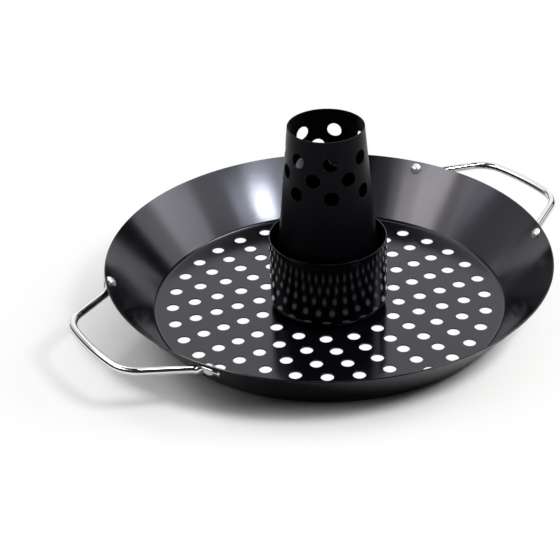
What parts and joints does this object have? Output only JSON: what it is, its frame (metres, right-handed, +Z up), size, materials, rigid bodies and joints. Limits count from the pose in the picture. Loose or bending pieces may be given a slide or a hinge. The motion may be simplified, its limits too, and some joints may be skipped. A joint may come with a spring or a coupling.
{
  "type": "grill pan with poultry infuser",
  "caption": "Round perforated non-stick grill pan with riveted chrome wire handles; a lift-out cup and tapered perforated cone in its middle hold a bird upright over liquid.",
  "frame": {"origin": "on the table under the middle of the pan", "axes": "+Z up along the axis of pan, cup and cone; X from one handle to the other"},
  "size_m": [0.3738, 0.3064, 0.1359],
  "materials": {
    "pan_coat": "glossy black non-stick coat on sheet steel",
    "infuser_coat": "black non-stick coat on sheet steel, satin on the cone and glossy on the cup",
    "handle_chrome": "bright chrome plate on round steel wire",
    "rivet_steel": "polished rivet steel"
  },
  "bodies": {
    "pan": {"pan": "pan_coat", "handle_right": "handle_chrome", "handle_left": "handle_chrome", "rivet_right_front": "rivet_steel", "rivet_right_rear": "rivet_steel", "rivet_left_front": "rivet_steel", "rivet_left_rear": "rivet_steel"},
    "cup": {"cup": "infuser_coat"},
    "cone": {"cone": "infuser_coat"}
  },
  "joints": [
    {"name": "cup_lift", "type": "slide", "parent": "pan", "child": "cup", "axis": [0, 0, 1], "range_m": [0, 0.045]},
    {"name": "cone_lift", "type": "slide", "parent": "cup", "child": "cone", "axis": [0, 0, 1], "range_m": [0, 0.055]}
  ]
}
